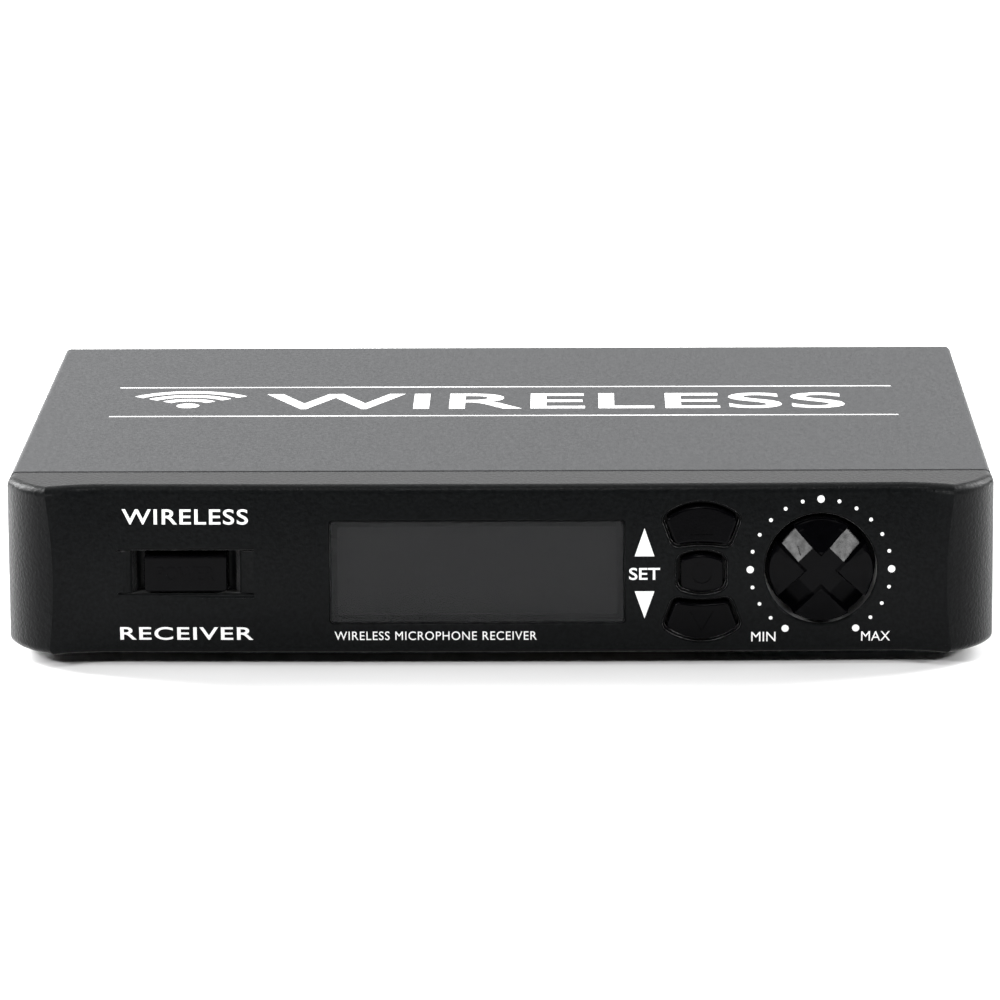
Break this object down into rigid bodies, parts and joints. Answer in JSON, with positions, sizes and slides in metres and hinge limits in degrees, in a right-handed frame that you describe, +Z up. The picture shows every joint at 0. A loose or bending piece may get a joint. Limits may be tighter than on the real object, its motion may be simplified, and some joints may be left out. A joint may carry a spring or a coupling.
{
  "type": "wireless microphone receiver",
  "caption": "Half-rack desktop wireless receiver: folded steel cover, moulded bezel with display, keys, power button and volume knob, rear antenna and audio sockets.",
  "frame": {"origin": "below the middle of the whole unit, on the surface its feet stand on", "axes": "+X to the right of someone facing the front, -Y out of the front, +Z up"},
  "size_m": [0.2126, 0.1688, 0.0398],
  "materials": {
    "bezel": "textured satin charcoal moulding",
    "cover_paint": "satin grey powder coat",
    "case_steel": "black powder coat",
    "control_plastic": "semi-gloss black",
    "lens": "smoked clear window",
    "lcd": "unlit display glass",
    "backlight": "diffuser",
    "white_plastic": "natural nylon",
    "black_plastic": "matt black",
    "board": "green solder mask",
    "zinc": "zinc plated",
    "nickel": "nickel plated",
    "gold": "gold plated contact",
    "tin": "tinned sheet",
    "alloy": "plain",
    "rubber": "matt",
    "ribbon": "grey insulation",
    "screw_black": "black oxide"
  },
  "bodies": {
    "housing": {"antenna_jack_left": "nickel", "antenna_jack_right": "nickel", "audio_chips": "black_plastic", "bezel_screws": "screw_black", "board_standoffs": "nickel", "chassis_tray": "case_steel", "connector_legs": "tin", "control_board": "board", "control_board_screws": "zinc", "cover_screws": "screw_black", "dc_jack_body": "black_plastic", "dc_jack_pin": "nickel", "display_lens": "lens", "electrolytic_capacitors": "black_plastic", "front_bezel": "bezel", "jack_contacts": "gold", "jack_insulators": "white_plastic", "jack_nuts": "nickel", "jack_washers": "nickel", "key_switches": "black_plastic", "lcd_backlight": "backlight", "lcd_carrier": "black_plastic", "lcd_glass": "lcd", "level_switch_body": "zinc", "line_jack_body": "black_plastic", "line_jack_contacts": "nickel", "line_jack_nut": "nickel", "main_board": "board", "main_board_screws": "zinc", "panel_screws": "screw_black", "power_switch_body": "black_plastic", "rear_panel": "case_steel", "regulator_heatsink": "alloy", "rf_shields": "tin", "ribbon_lead": "ribbon", "rubber_feet": "rubber", "squelch_trimmer_body": "black_plastic", "top_cover": "cover_paint", "tuner_chips": "black_plastic", "voltage_regulator": "black_plastic", "volume_pot_body": "zinc", "volume_pot_nut": "nickel", "volume_pot_washer": "nickel", "xlr_insert": "black_plastic", "xlr_nuts": "zinc", "xlr_pins": "gold", "xlr_screws": "screw_black", "xlr_shell": "black_plastic"},
    "volume_control": {"volume_knob": "control_plastic", "volume_pot_shaft": "alloy"},
    "up_press": {"up_key": "control_plastic", "up_switch_plunger": "white_plastic"},
    "set_press": {"set_key": "control_plastic", "set_switch_plunger": "white_plastic"},
    "down_press": {"down_key": "control_plastic", "down_switch_plunger": "white_plastic"},
    "power_press": {"power_button": "control_plastic", "power_switch_plunger": "white_plastic"},
    "squelch_control": {"squelch_trimmer_rotor": "white_plastic"},
    "level_control": {"level_switch_slider": "black_plastic"}
  },
  "joints": [
    {"name": "volume_turn", "type": "hinge", "parent": "housing", "child": "volume_control", "pos_m": [0.0686, -0.0788, 0.0213], "axis": [0, 1, 0], "range_deg": [-105, 195]},
    {"name": "up_key_press", "type": "slide", "parent": "housing", "child": "up_press", "axis": [0, 1, 0], "range_m": [0, 0.0006], "stiffness_N_per_m": 2600},
    {"name": "set_key_press", "type": "slide", "parent": "housing", "child": "set_press", "axis": [0, 1, 0], "range_m": [0, 0.0006], "stiffness_N_per_m": 2600},
    {"name": "down_key_press", "type": "slide", "parent": "housing", "child": "down_press", "axis": [0, 1, 0], "range_m": [0, 0.0006], "stiffness_N_per_m": 2600},
    {"name": "power_button_press", "type": "slide", "parent": "housing", "child": "power_press", "axis": [0, 1, 0], "range_m": [0, 0.0025], "stiffness_N_per_m": 900},
    {"name": "squelch_turn", "type": "hinge", "parent": "housing", "child": "squelch_control", "pos_m": [0.058, 0.0724, 0.0214], "axis": [0, -1, 0], "range_deg": [-135, 135]},
    {"name": "level_slide", "type": "slide", "parent": "housing", "child": "level_control", "axis": [1, 0, 0], "range_m": [0, 0.004]}
  ]
}
